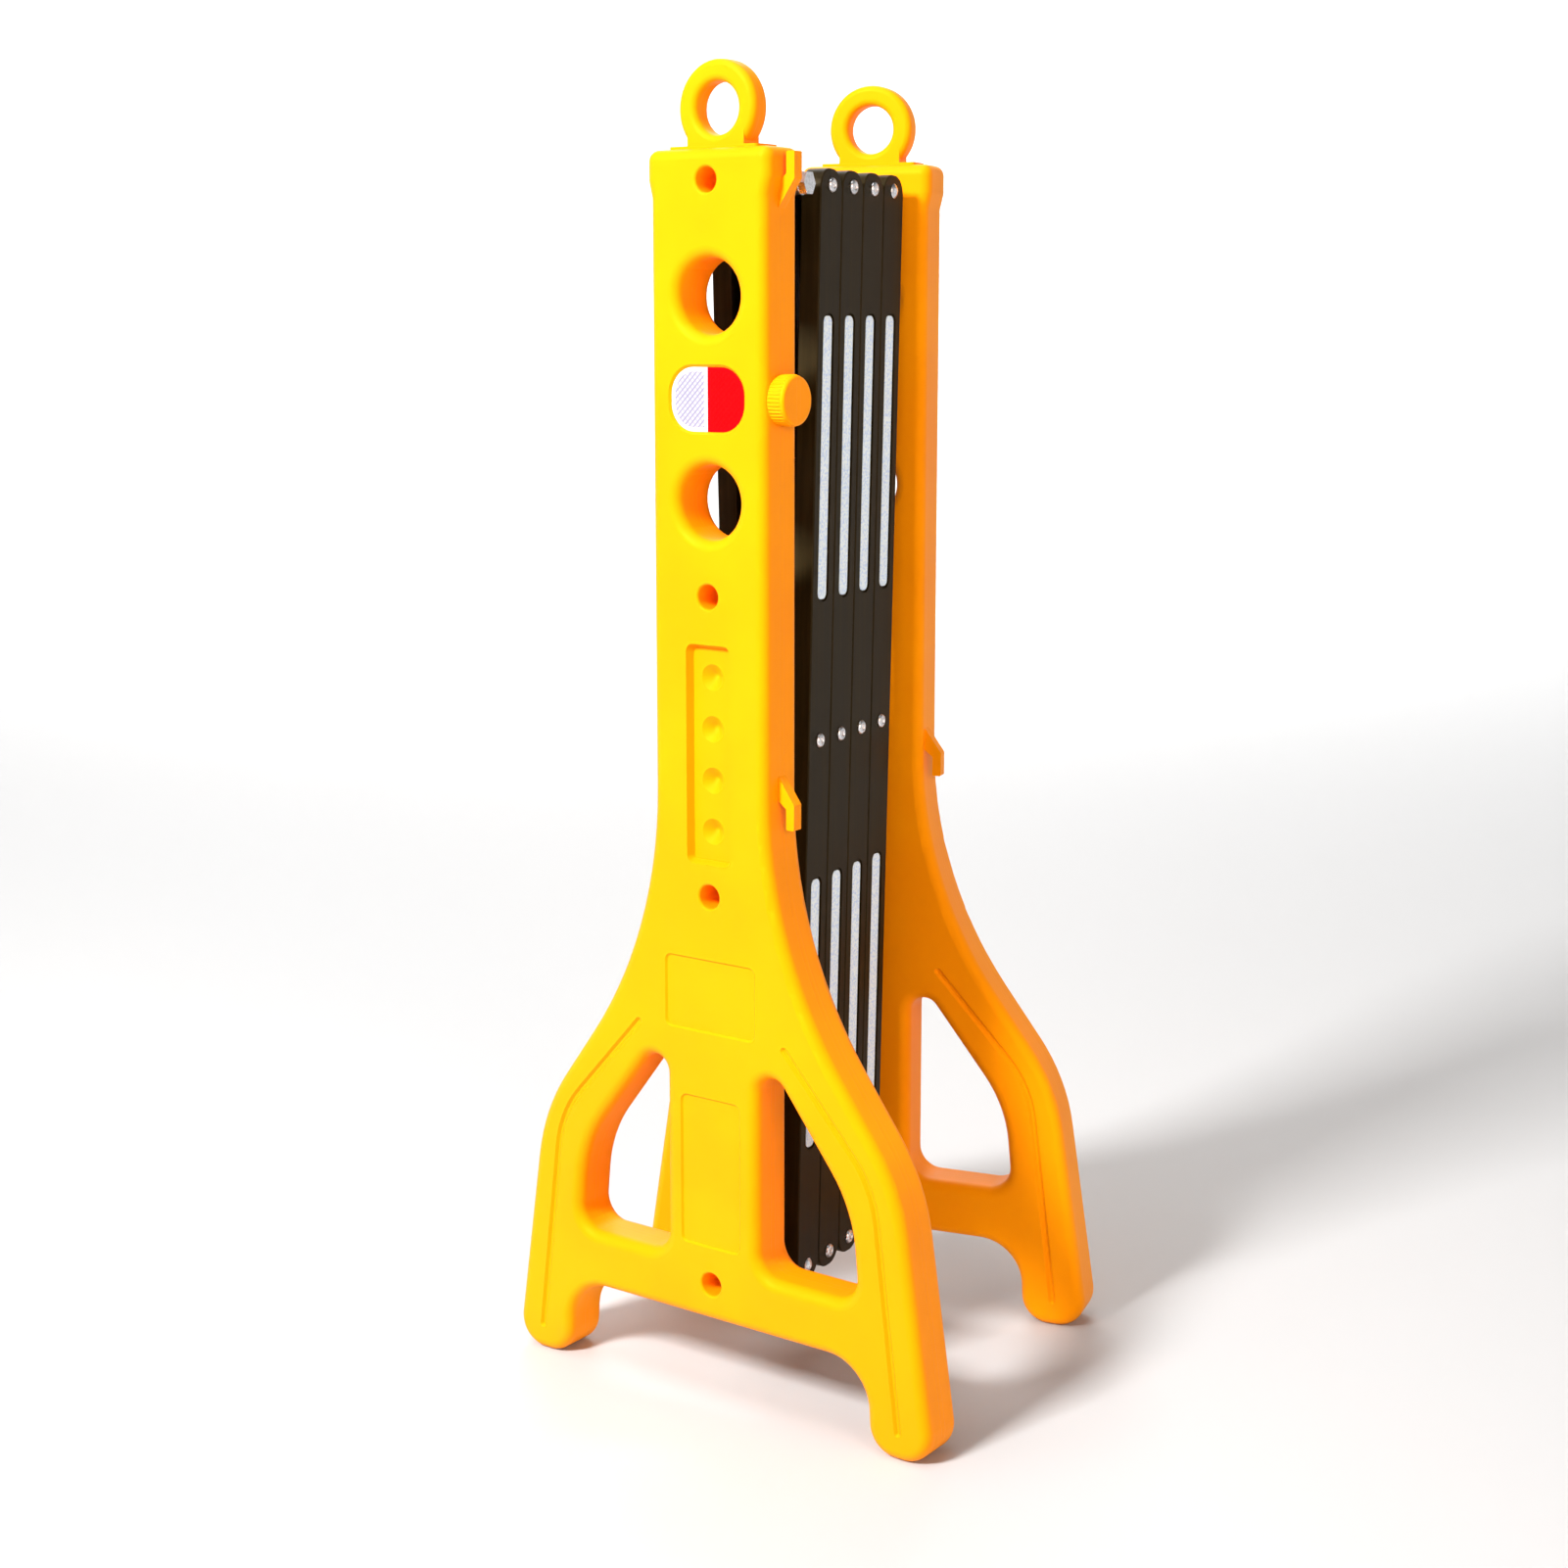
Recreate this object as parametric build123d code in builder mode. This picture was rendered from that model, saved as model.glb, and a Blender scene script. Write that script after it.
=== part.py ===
"""Expandable road barrier, folded: two moulded end posts joined by a scissor lattice of slats.

The frame has +X along the way the barrier pulls out, +Z up, and its origin on the ground under
the middle of the folded barrier. All sizes are in millimetres.

Each end post, with its hinge hardware, is drawn in its own frame: local z up, the upright swivel
axis at local x = 0, the post behind it at negative x and the lattice ahead of it at positive x.
"""
import math
import os

from build123d import *

# End post, overall
POST_THICK = 42.0
COLUMN_HALF = 51.5
CAP_HALF = 54.5
CAP_TOP = 938.0
CAP_BASE = 916.0
CAP_TAPER = 12.0
WALL = 3.6
EDGE_ROUND = 8.0
CAP_CORNER_ROUND = 8.0
CAP_BASE_ROUNDS = (6.0, 12.0)

# Legs, measured out from the column's middle line and up from the ground
LEG_START_Z = 364.0
FOOT_OUTER = 199.0
FOOT_WIDTH = 56.0
ELBOW_INSET = 30.0
ELBOW_Z = 202.0
ARCH_LEAN = 3.0
ARCH_TOP = 66.0
LEG_FLARE_ROUND = 340.0
ELBOW_ROUND = 160.0
FOOT_ROUND = 23.0
ARCH_ROUND = 36.0
DRAIN_RADIUS = 3.0
DRAIN_CUT = 18.0

# Window in each leg, with its outer side set in from the foot's outer side
WINDOW_INNER = 43.0
WINDOW_BASE = 111.0
WINDOW_APEX_Z = 289.5
WINDOW_INSET = 67.2
WINDOW_ELBOW_INSET = 74.0
WINDOW_ELBOW_Z = 181.5
WINDOW_CORNER_ROUND = 18.0
WINDOW_APEX_ROUND = 12.0
WINDOW_ELBOW_ROUND = 105.0
WINDOW_RIM_ROUND = 9.0

# Eyelet ring and its plinth on top of the post
RING_Z = 966.0
RING_OUTER = 34.0
RING_HOLE = 18.5
RING_THICK = 18.0
RING_ROUND = 5.0
NECK_WIDTH = 50.0
PLINTH_SIZE = (26.0, 78.0, 2.0)
PLINTH_ROUND = 3.0
TANG_SIZE = (10.0, 40.0, 8.0)

# Holes and panels on the outer face
BIG_HOLE_RADIUS = 27.0
BIG_HOLE_HEIGHTS = (835.0, 688.0)
BIG_HOLE_ROUND = 8.5
SCREW_HEIGHTS = (916.0, 620.0, 397.0, 95.0)
WELL_RADIUS = 9.0
WELL_FLOOR = 5.0
WELL_ROUND = 2.0
STICKER_Z = 762.0
STICKER_SIZE = (65.0, 46.0)
STICKER_CORNER = 20.0
STICKER_POCKET = 2.4
STICKER_RIM = 2.0
STICKER_THICK = 0.8
DIMPLE_PANEL_SIZE = (40.0, 164.0)
DIMPLE_PANEL_Z = 503.0
DIMPLE_PANEL_DEPTH = 6.0
DIMPLE_PANEL_TAPER = 25.0
DIMPLE_PANEL_BACKING = 17.0
DIMPLE_COUNT = 4
DIMPLE_PITCH = 38.3
DIMPLE_RADIUS = 9.8
RECESS_TAPER = 45.0
DIMPLE_DEPTH = 7.5
LABEL_PANELS = ((84.0, 57.0, 320.5), (56.0, 118.0, 183.0))
LABEL_DEPTH = 1.5
PANEL_CORNER = 6.0
GROOVE_WIDTH = 6.0
GROOVE_DEPTH = 2.0
GROOVE_TOP = (68.0, 291.0)
GROOVE_ELBOW_INSET = 52.0
GROOVE_ELBOW_Z = 203.0
GROOVE_END_INSET = 29.5
GROOVE_END_Z = 22.0
GROOVE_ROUND = 90.0
BLOCK_MARGIN = 2.0

# Hooks moulded on both narrow sides of the post, and the linking knob on one of them
HOOK_THICK = 9.0
HOOK_REACH = 14.0
HOOK_ARM = 7.0
HOOK_DROP = 20.0
HOOK_HEIGHT = 39.0
HOOK_ROOT = 18.0
UPPER_HOOK_BASE = 895.5
LOWER_HOOK_TOP = 491.0
HOOK_ROUND = 1.2
HOOK_SHIFT = 7.0
HOOK_PLACES = (
    (-1, UPPER_HOOK_BASE, 1, 0.0),
    (-1, LOWER_HOOK_TOP, -1, 0.0),
    (1, LOWER_HOOK_TOP, -1, HOOK_SHIFT),
)
KNOB_Z = 762.0
KNOB_RADIUS = 18.0
KNOB_LENGTH = 14.0
KNOB_ROUND = 2.5
KNOB_STEM_RADIUS = 6.0
KNOB_STEM_LENGTH = 12.0

# Swivel hinge between post and guide plate
STANDOFF = 10.0
YAW = 7.0
BRACKET_WIDTH = 30.0
BRACKET_HEIGHT = 42.0
BRACKET_BASE = 4.0
TOP_BRACKET_DROP = 14.0
EAR_INNER = 14.0
EAR_THICK = 4.0
EAR_RADIUS = 5.5
HINGE_PIN_RADIUS = 2.5
HINGE_PIN_HEAD = 4.0
HINGE_PIN_HEAD_THICK = 1.5
BARREL_HALF = 13.6
BOLT_RADIUS = 3.0
BOLT_HEAD_RADIUS = 5.5
BOLT_HEAD_HEIGHT = 4.0
HEX_SIDES = 6
RUNNING = 0.05

# Guide plate
PLATE_THICK = 3.0
PLATE_EDGE = 6.5
PLATE_RIM = 8.5
PLATE_OVER = 9.0
SLOT_CLEARANCE = 0.4

# Lattice
CELLS = 4
PITCH = 34.5
ARM = 412.0
TOP_PIVOT_Z = 916.0
NEAR_REACH = 24.0
FAR_REACH = 14.0
OPEN_ANGLE = 46.0
SLAT_WIDTH = 33.6
SLAT_END = 12.0
SLAT_CORNER = 14.5
SLAT_FACE_Y = 37.0
SLAT_DEPTH = 16.0
SLAT_FACE_THICK = 3.5
SLAT_WALL = 2.5
SLAT_EDGE_ROUND = 1.2
RIB_THICK = 2.0
RIB_PITCH = 103.0
BOSS_RADIUS = 8.0
BOSS_GAP = 0.3
PLATE_GAP = 0.4
PIN_RADIUS = 4.0
PIN_HEAD_RADIUS = 5.5
PIN_HEAD_HEIGHT = 2.4
HEAD_GAP = 0.3
SLEEVE_RADIUS = 8.5
NUT_RADIUS = 9.0
NUT_HEIGHT = 6.0
COLLAR_RADIUS = 7.4
COLLAR_LENGTH = 4.0

# Reflective strips on the slats
STRIP_WIDTH = 13.0
STRIP_LENGTH = 210.0
STRIP_CENTRE = 212.0
STRIP_CORNER = 5.0
STRIP_POCKET = 1.4
STRIP_THICK = 0.6
STRIP_MARGIN = 2.0

# Worked out from the sizes above
OUTER_FACE = -(STANDOFF + POST_THICK)
INNER_FACE = -STANDOFF
POST_MIDDLE = (OUTER_FACE + INNER_FACE) / 2
SWIVEL_X = (NEAR_REACH + CELLS * PITCH + FAR_REACH) / 2
MID_Y = POST_MIDDLE * math.sin(math.radians(YAW))
LEAN = math.degrees(math.asin(PITCH / (2 * ARM)))
MIDDLE_PIVOT_Z = TOP_PIVOT_Z - ARM * math.cos(math.radians(LEAN))
BOTTOM_PIVOT_Z = 2 * MIDDLE_PIVOT_Z - TOP_PIVOT_Z
RAISED_PIVOT_Z = TOP_PIVOT_Z - 2 * ARM * math.cos(math.radians(OPEN_ANGLE))
FIRST_PIVOT_X = NEAR_REACH - SWIVEL_X
BRACKET_HEIGHTS = (SCREW_HEIGHTS[0] - TOP_BRACKET_DROP, *SCREW_HEIGHTS[1:])
FOOT_INNER = FOOT_OUTER - FOOT_WIDTH
FOOT_MIDDLE = FOOT_OUTER - FOOT_WIDTH / 2
PLATE_HALF = PLATE_THICK / 2

# Turn about the upright axis that carries each end's local frame into the barrier's frame
ENDS = {"near": (-SWIVEL_X, 0.0, -YAW, NEAR_REACH), "far": (SWIVEL_X, 180.0, YAW, FAR_REACH)}

# Box alignments that stand on a plane or hang from it
BOTTOM_UP = (Align.CENTER, Align.CENTER, Align.MIN)
TOP_DOWN = (Align.CENTER, Align.CENTER, Align.MAX)

os.makedirs("parts", exist_ok=True)


def save(builder, node):
    """Labels a finished piece and writes it under its node name."""
    builder.part.label = node
    export_step(builder.part, f"parts/{node}.step")


def face_plane(x):
    """Plane across the post at local x, with sketch x along local y and sketch y up."""
    return Plane(origin=(x, 0, 0), x_dir=(0, 1, 0), z_dir=(1, 0, 0))


def side_plane(y):
    """Plane along the barrier at local y, with sketch x along local x and sketch y up."""
    return Plane(origin=(0, y, 0), x_dir=(1, 0, 0), z_dir=(0, -1, 0))


def post_outline():
    """Sketch of the whole post seen from the end: cap, column, two legs, two feet and the arch."""
    half = [
        (0, CAP_TOP),
        (CAP_HALF, CAP_TOP),
        (CAP_HALF, CAP_BASE),
        (COLUMN_HALF, CAP_BASE - CAP_TAPER),
        (COLUMN_HALF, LEG_START_Z),
        (FOOT_OUTER - ELBOW_INSET, ELBOW_Z),
        (FOOT_OUTER, 0),
        (FOOT_INNER, 0),
        (FOOT_INNER - ARCH_LEAN, ARCH_TOP),
        (0, ARCH_TOP),
    ]
    upper_rounds = [CAP_CORNER_ROUND, *CAP_BASE_ROUNDS, LEG_FLARE_ROUND]
    rounds = [*upper_rounds, ELBOW_ROUND, FOOT_ROUND, FOOT_ROUND, ARCH_ROUND]
    with BuildSketch() as outline:
        with BuildLine():
            FilletPolyline(*half, radius=rounds)
            mirror(about=Plane.YZ)
        make_face()
    return outline.sketch


def window_outline():
    """Sketch of the two leg windows."""
    corners = [
        (WINDOW_INNER, WINDOW_BASE),
        (WINDOW_INNER, WINDOW_APEX_Z),
        (FOOT_OUTER - WINDOW_ELBOW_INSET, WINDOW_ELBOW_Z),
        (FOOT_OUTER - WINDOW_INSET, WINDOW_BASE),
    ]
    rounds = [WINDOW_CORNER_ROUND, WINDOW_APEX_ROUND, WINDOW_ELBOW_ROUND, WINDOW_CORNER_ROUND]
    with BuildSketch() as windows:
        with BuildLine():
            FilletPolyline(*corners, radius=rounds, close=True)
        make_face()
        mirror(about=Plane.YZ)
    return windows.sketch


def cavity():
    """Hollow inside the blown post, which leaves a wall round the outline, windows, holes and wells."""
    with BuildPart() as hollow:
        with BuildSketch(face_plane(OUTER_FACE + WALL)):
            add(post_outline())
            offset(amount=-WALL, mode=Mode.REPLACE)
            with BuildSketch(mode=Mode.PRIVATE) as kept:
                add(window_outline())
                offset(amount=WALL, mode=Mode.REPLACE)
            add(kept.sketch, mode=Mode.SUBTRACT)
            with Locations(*[(0, z) for z in BIG_HOLE_HEIGHTS]):
                Circle(BIG_HOLE_RADIUS + WALL, mode=Mode.SUBTRACT)
            with Locations(*[(0, z) for z in SCREW_HEIGHTS]):
                Circle(WELL_RADIUS + WALL, mode=Mode.SUBTRACT)
        extrude(amount=POST_THICK - 2 * WALL)
        with BuildSketch(face_plane(OUTER_FACE)):
            with Locations((0, DIMPLE_PANEL_Z)):
                Rectangle(DIMPLE_PANEL_SIZE[0] + 2 * WALL, DIMPLE_PANEL_SIZE[1] + 2 * WALL)
        extrude(amount=DIMPLE_PANEL_BACKING, mode=Mode.SUBTRACT)
        with BuildSketch(Plane.XZ.offset(COLUMN_HALF)):
            with Locations((POST_MIDDLE, KNOB_Z)):
                Circle(KNOB_STEM_RADIUS + WALL)
        extrude(amount=-(KNOB_STEM_LENGTH + WALL), mode=Mode.SUBTRACT)
        with Locations((POST_MIDDLE, 0, CAP_TOP)):
            Box(*[size + 2 * WALL for size in TANG_SIZE], align=TOP_DOWN, mode=Mode.SUBTRACT)
    return hollow.part


def make_eyelet():
    """Ring on a short neck and a low plinth, standing on the cap with a tang pressed into it."""
    with BuildPart() as ring:
        with BuildSketch(face_plane(POST_MIDDLE)):
            with Locations((0, RING_Z)):
                Circle(RING_OUTER)
            with Locations((0, CAP_TOP)):
                Rectangle(NECK_WIDTH, RING_Z - CAP_TOP, align=(Align.CENTER, Align.MIN))
            with Locations((0, RING_Z)):
                Circle(RING_HOLE, mode=Mode.SUBTRACT)
        extrude(amount=RING_THICK / 2, both=True)
        fillet(ring.edges().filter_by(GeomType.CIRCLE), RING_ROUND)
        split(bisect_by=Plane.XY.offset(CAP_TOP), keep=Keep.TOP)
        with BuildPart(mode=Mode.PRIVATE) as plinth:
            with Locations((POST_MIDDLE, 0, CAP_TOP)):
                Box(*PLINTH_SIZE, align=BOTTOM_UP)
            fillet(plinth.edges().filter_by(Axis.Z), PLINTH_ROUND)
        add(plinth.part)
        with Locations((POST_MIDDLE, 0, CAP_TOP)):
            Box(*TANG_SIZE, align=TOP_DOWN)
    return ring.part


def hooks():
    """Three hooks: one turned up beside the cap on the -y side, and one turned down on each side."""
    profile = [
        (-WALL, 0),
        (0, 0),
        (HOOK_REACH, HOOK_DROP),
        (HOOK_REACH, HOOK_HEIGHT),
        (HOOK_REACH - HOOK_ARM, HOOK_HEIGHT),
        (HOOK_REACH - HOOK_ARM, HOOK_DROP + HOOK_ARM / 2),
        (0, HOOK_ROOT),
        (-WALL, HOOK_ROOT),
    ]
    with BuildPart() as hook_set:
        for side, base, up, shift in HOOK_PLACES:
            with BuildSketch(face_plane(POST_MIDDLE + shift)):
                with BuildLine():
                    Polyline(*[(side * (COLUMN_HALF + y), base + up * z) for y, z in profile], close=True)
                make_face()
            extrude(amount=HOOK_THICK / 2, both=True)
        corners = hook_set.edges().filter_by(Axis.X)
        fillet(corners.filter_by(lambda edge: abs(edge.center().Y) > COLUMN_HALF + RUNNING), HOOK_ROUND)
    return hook_set.part


def leg_grooves(x, depth):
    """Cutter for the line pressed along the middle of each leg, from the face at local x."""
    with BuildPart() as grooves:
        with BuildSketch(face_plane(x)):
            with BuildLine():
                elbow = (FOOT_OUTER - GROOVE_ELBOW_INSET, GROOVE_ELBOW_Z)
                end = (FOOT_OUTER - GROOVE_END_INSET, GROOVE_END_Z)
                FilletPolyline(GROOVE_TOP, elbow, end, radius=GROOVE_ROUND)
                offset(amount=GROOVE_WIDTH / 2)
            make_face()
            mirror(about=Plane.YZ)
        extrude(amount=depth, taper=RECESS_TAPER)
    return grooves.part


def dimples():
    """Cutter for the row of cone-shaped dimples in the floor of the long panel."""
    floor_x = OUTER_FACE + DIMPLE_PANEL_DEPTH
    above = -DIMPLE_PANEL_DEPTH / 2
    first = DIMPLE_PANEL_Z - DIMPLE_PITCH * (DIMPLE_COUNT - 1) / 2
    with BuildPart() as cutters:
        for z in [first + i * DIMPLE_PITCH for i in range(DIMPLE_COUNT)]:
            with BuildSketch(Plane(origin=(floor_x, 0, z), x_dir=(0, 1, 0), z_dir=(0, 0, -1))):
                with BuildLine():
                    rim = (DIMPLE_RADIUS, 0)
                    Polyline((0, DIMPLE_DEPTH), (0, above), (DIMPLE_RADIUS, above), rim, close=True)
                make_face()
            revolve(axis=Axis((floor_x, 0, z), (1, 0, 0)))
    return cutters.part


def make_post():
    """One hollow end post in its local frame."""
    with BuildPart() as post:
        with BuildSketch(face_plane(OUTER_FACE)):
            add(post_outline())
        extrude(amount=POST_THICK)
        fillet(post.faces().filter_by(Axis.X).edges(), EDGE_ROUND)

        with BuildSketch(face_plane(OUTER_FACE)):
            add(window_outline())
        extrude(amount=POST_THICK, mode=Mode.SUBTRACT)
        rims = post.faces().filter_by(Axis.X).wires()
        window_rims = rims.filter_by(lambda rim: rim.bounding_box().size.Z < ELBOW_Z)
        fillet(window_rims.edges(), WINDOW_RIM_ROUND)

        with BuildSketch(face_plane(OUTER_FACE)):
            with Locations(*[(0, z) for z in BIG_HOLE_HEIGHTS]):
                Circle(BIG_HOLE_RADIUS)
        extrude(amount=POST_THICK, mode=Mode.SUBTRACT)
        holes = post.faces().filter_by(Axis.X).edges().filter_by(GeomType.CIRCLE)
        fillet(holes.filter_by(lambda e: abs(e.radius - BIG_HOLE_RADIUS) < RUNNING), BIG_HOLE_ROUND)

        with BuildSketch(face_plane(OUTER_FACE)):
            with Locations(*[(0, z) for z in SCREW_HEIGHTS]):
                Circle(WELL_RADIUS)
        extrude(amount=POST_THICK - WELL_FLOOR, mode=Mode.SUBTRACT)
        wells = post.faces().filter_by(Axis.X).sort_by(Axis.X)[0].edges().filter_by(GeomType.CIRCLE)
        fillet(wells.filter_by(lambda e: abs(e.radius - WELL_RADIUS) < RUNNING), WELL_ROUND)

        add(cavity(), mode=Mode.SUBTRACT)
        with BuildSketch(face_plane(OUTER_FACE)):
            with Locations(*[(0, z) for z in SCREW_HEIGHTS]):
                Circle(BOLT_RADIUS + RUNNING)
        extrude(amount=POST_THICK, mode=Mode.SUBTRACT)
        with Locations(*[(POST_MIDDLE, side * FOOT_MIDDLE, 0) for side in (-1, 1)]):
            Cylinder(DRAIN_RADIUS, DRAIN_CUT, mode=Mode.SUBTRACT)

        with BuildSketch(face_plane(OUTER_FACE)):
            with Locations((0, STICKER_Z)):
                rim = [size + 2 * STICKER_RIM for size in STICKER_SIZE]
                RectangleRounded(*rim, STICKER_CORNER + STICKER_RIM)
        extrude(amount=STICKER_RIM, taper=RECESS_TAPER, mode=Mode.SUBTRACT)
        with BuildSketch(face_plane(OUTER_FACE)):
            with Locations((0, STICKER_Z)):
                RectangleRounded(*STICKER_SIZE, STICKER_CORNER)
        extrude(amount=STICKER_POCKET, mode=Mode.SUBTRACT)
        with BuildSketch(face_plane(OUTER_FACE)):
            for width, height, z in LABEL_PANELS:
                with Locations((0, z)):
                    RectangleRounded(width, height, PANEL_CORNER)
        extrude(amount=LABEL_DEPTH, taper=RECESS_TAPER, mode=Mode.SUBTRACT)
        with BuildSketch(face_plane(OUTER_FACE)):
            with Locations((0, DIMPLE_PANEL_Z)):
                RectangleRounded(*DIMPLE_PANEL_SIZE, PANEL_CORNER)
        extrude(amount=DIMPLE_PANEL_DEPTH, taper=DIMPLE_PANEL_TAPER, mode=Mode.SUBTRACT)
        add(dimples(), mode=Mode.SUBTRACT)
        add(leg_grooves(OUTER_FACE, GROOVE_DEPTH), mode=Mode.SUBTRACT)
        add(leg_grooves(INNER_FACE, -GROOVE_DEPTH), mode=Mode.SUBTRACT)

        add(hooks())
        with Locations((POST_MIDDLE, 0, CAP_TOP)):
            Box(*TANG_SIZE, align=TOP_DOWN, mode=Mode.SUBTRACT)
        with BuildSketch(Plane.XZ.offset(COLUMN_HALF)):
            with Locations((POST_MIDDLE, KNOB_Z)):
                Circle(KNOB_STEM_RADIUS)
        extrude(amount=-KNOB_STEM_LENGTH, mode=Mode.SUBTRACT)
    return post.part


def block_outlines():
    """Corners, in local y and z, of the blocks beside the big holes and windows and of the legs."""
    floor = -WALL
    reach = 2 * FOOT_OUTER
    stem = WINDOW_INNER + BLOCK_MARGIN
    elbow = FOOT_OUTER - WINDOW_ELBOW_INSET
    slope = (ELBOW_Z - WINDOW_ELBOW_Z) / (FOOT_OUTER - ELBOW_INSET - elbow)
    stem_cut = WINDOW_ELBOW_Z + slope * (stem - elbow)
    reach_cut = WINDOW_ELBOW_Z + slope * (reach - elbow)
    wedge = (BIG_HOLE_HEIGHTS[0] - BIG_HOLE_HEIGHTS[1]) / 2
    hole_sides = [[(0, z), (wedge, z + wedge), (wedge, z - wedge)] for z in BIG_HOLE_HEIGHTS]
    upper_leg = [(stem, LEG_START_Z), (reach, LEG_START_Z), (reach, reach_cut), (stem, stem_cut)]
    lower_leg = [(elbow, WINDOW_ELBOW_Z), (reach, reach_cut), (reach, floor), (elbow, floor)]
    crossbar = [(stem, stem_cut), (elbow, WINDOW_ELBOW_Z), (elbow, floor), (stem, floor)]
    one_side = [*hole_sides, upper_leg, lower_leg, crossbar]
    other_side = [[(-y, z) for y, z in corners] for corners in one_side]
    middle = [(-stem, floor), (-stem, LEG_START_Z), (stem, LEG_START_Z), (stem, floor)]
    return [*one_side, *other_side, middle]


def cut_into_blocks(post):
    """The post as touching blocks that fill exactly its shape, none of which bends round an opening."""
    rest = post
    blocks = []
    for corners in block_outlines():
        with BuildPart() as prism:
            with BuildSketch(face_plane(OUTER_FACE - WALL)):
                with BuildLine():
                    Polyline(*corners, close=True)
                make_face()
            extrude(amount=POST_THICK + 2 * WALL)
        with BuildPart() as block:
            add(rest, mode=Mode.REPLACE)
            add(prism.part, mode=Mode.INTERSECT)
        with BuildPart() as remainder:
            add(rest, mode=Mode.REPLACE)
            add(prism.part, mode=Mode.SUBTRACT)
        blocks += block.solids()
        rest = remainder.part
    with BuildPart() as whole:
        add([*blocks, *rest.solids()], mode=Mode.REPLACE)
    return whole.part


def make_knob():
    """Linking knob: a round head on the post's narrow side with a stem pressed into the wall."""
    with BuildPart() as knob:
        with BuildSketch(Plane.XZ.offset(COLUMN_HALF)):
            with Locations((POST_MIDDLE, KNOB_Z)):
                Circle(KNOB_RADIUS)
        extrude(amount=KNOB_LENGTH)
        fillet(knob.faces().sort_by(Axis.Y)[0].edges(), KNOB_ROUND)
        with BuildSketch(Plane.XZ.offset(COLUMN_HALF)):
            with Locations((POST_MIDDLE, KNOB_Z)):
                Circle(KNOB_STEM_RADIUS)
        extrude(amount=-KNOB_STEM_LENGTH)
    return knob.part


def make_sticker(side):
    """Half of the two-colour reflective patch, on the local y side given as 1 or -1."""
    plane = face_plane(OUTER_FACE + STICKER_POCKET - STICKER_THICK)
    with BuildPart() as patch:
        with BuildSketch(plane):
            with Locations((0, STICKER_Z)):
                RectangleRounded(*STICKER_SIZE, STICKER_CORNER)
                Rectangle(
                    STICKER_SIZE[0],
                    STICKER_SIZE[1],
                    align=(Align.MAX if side > 0 else Align.MIN, Align.CENTER),
                    mode=Mode.SUBTRACT,
                )
        extrude(amount=STICKER_THICK)
    return patch.part


def make_brackets():
    """Four hinge brackets on the post's inner face, each a base with two ears round the swivel axis."""
    ear_heights = [z + sign * (EAR_INNER + EAR_THICK / 2) for z in BRACKET_HEIGHTS for sign in (-1, 1)]
    with BuildPart() as brackets:
        with Locations(*[(INNER_FACE + BRACKET_BASE / 2, 0, z) for z in BRACKET_HEIGHTS]):
            Box(BRACKET_BASE, BRACKET_WIDTH, BRACKET_HEIGHT)
        for z in ear_heights:
            with BuildSketch(Plane.XY.offset(z - EAR_THICK / 2)):
                Circle(EAR_RADIUS)
                with Locations((INNER_FACE + BRACKET_BASE, 0)):
                    Rectangle(-INNER_FACE - BRACKET_BASE, 2 * EAR_RADIUS, align=(Align.MIN, Align.CENTER))
                Circle(HINGE_PIN_RADIUS, mode=Mode.SUBTRACT)
            extrude(amount=EAR_THICK)
        with BuildSketch(face_plane(INNER_FACE)):
            with Locations(*[(0, z) for z in SCREW_HEIGHTS]):
                Circle(BOLT_RADIUS)
        extrude(amount=BRACKET_BASE, mode=Mode.SUBTRACT)
    return brackets.part


def make_bracket_bolts():
    """Four bolts, with heads in the post's wells and shanks through its inner wall into the brackets."""
    seat = INNER_FACE - WELL_FLOOR
    with BuildPart() as bolts:
        with BuildSketch(face_plane(seat)):
            with Locations(*[(0, z) for z in SCREW_HEIGHTS]):
                RegularPolygon(BOLT_HEAD_RADIUS, HEX_SIDES)
        extrude(amount=-BOLT_HEAD_HEIGHT)
        with BuildSketch(face_plane(seat)):
            with Locations(*[(0, z) for z in SCREW_HEIGHTS]):
                Circle(BOLT_RADIUS)
        extrude(amount=WELL_FLOOR + BRACKET_BASE)
    return bolts.part


def make_hinge_pins():
    """Four upright headed pins, one through the ears of each bracket."""
    reach = EAR_INNER + EAR_THICK
    with BuildPart() as pins:
        with Locations(*[(0, 0, z) for z in BRACKET_HEIGHTS]):
            Cylinder(HINGE_PIN_RADIUS, 2 * reach)
        with Locations(*[(0, 0, z + reach + HINGE_PIN_HEAD_THICK / 2) for z in BRACKET_HEIGHTS]):
            Cylinder(HINGE_PIN_HEAD, HINGE_PIN_HEAD_THICK)
    return pins.part


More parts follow.
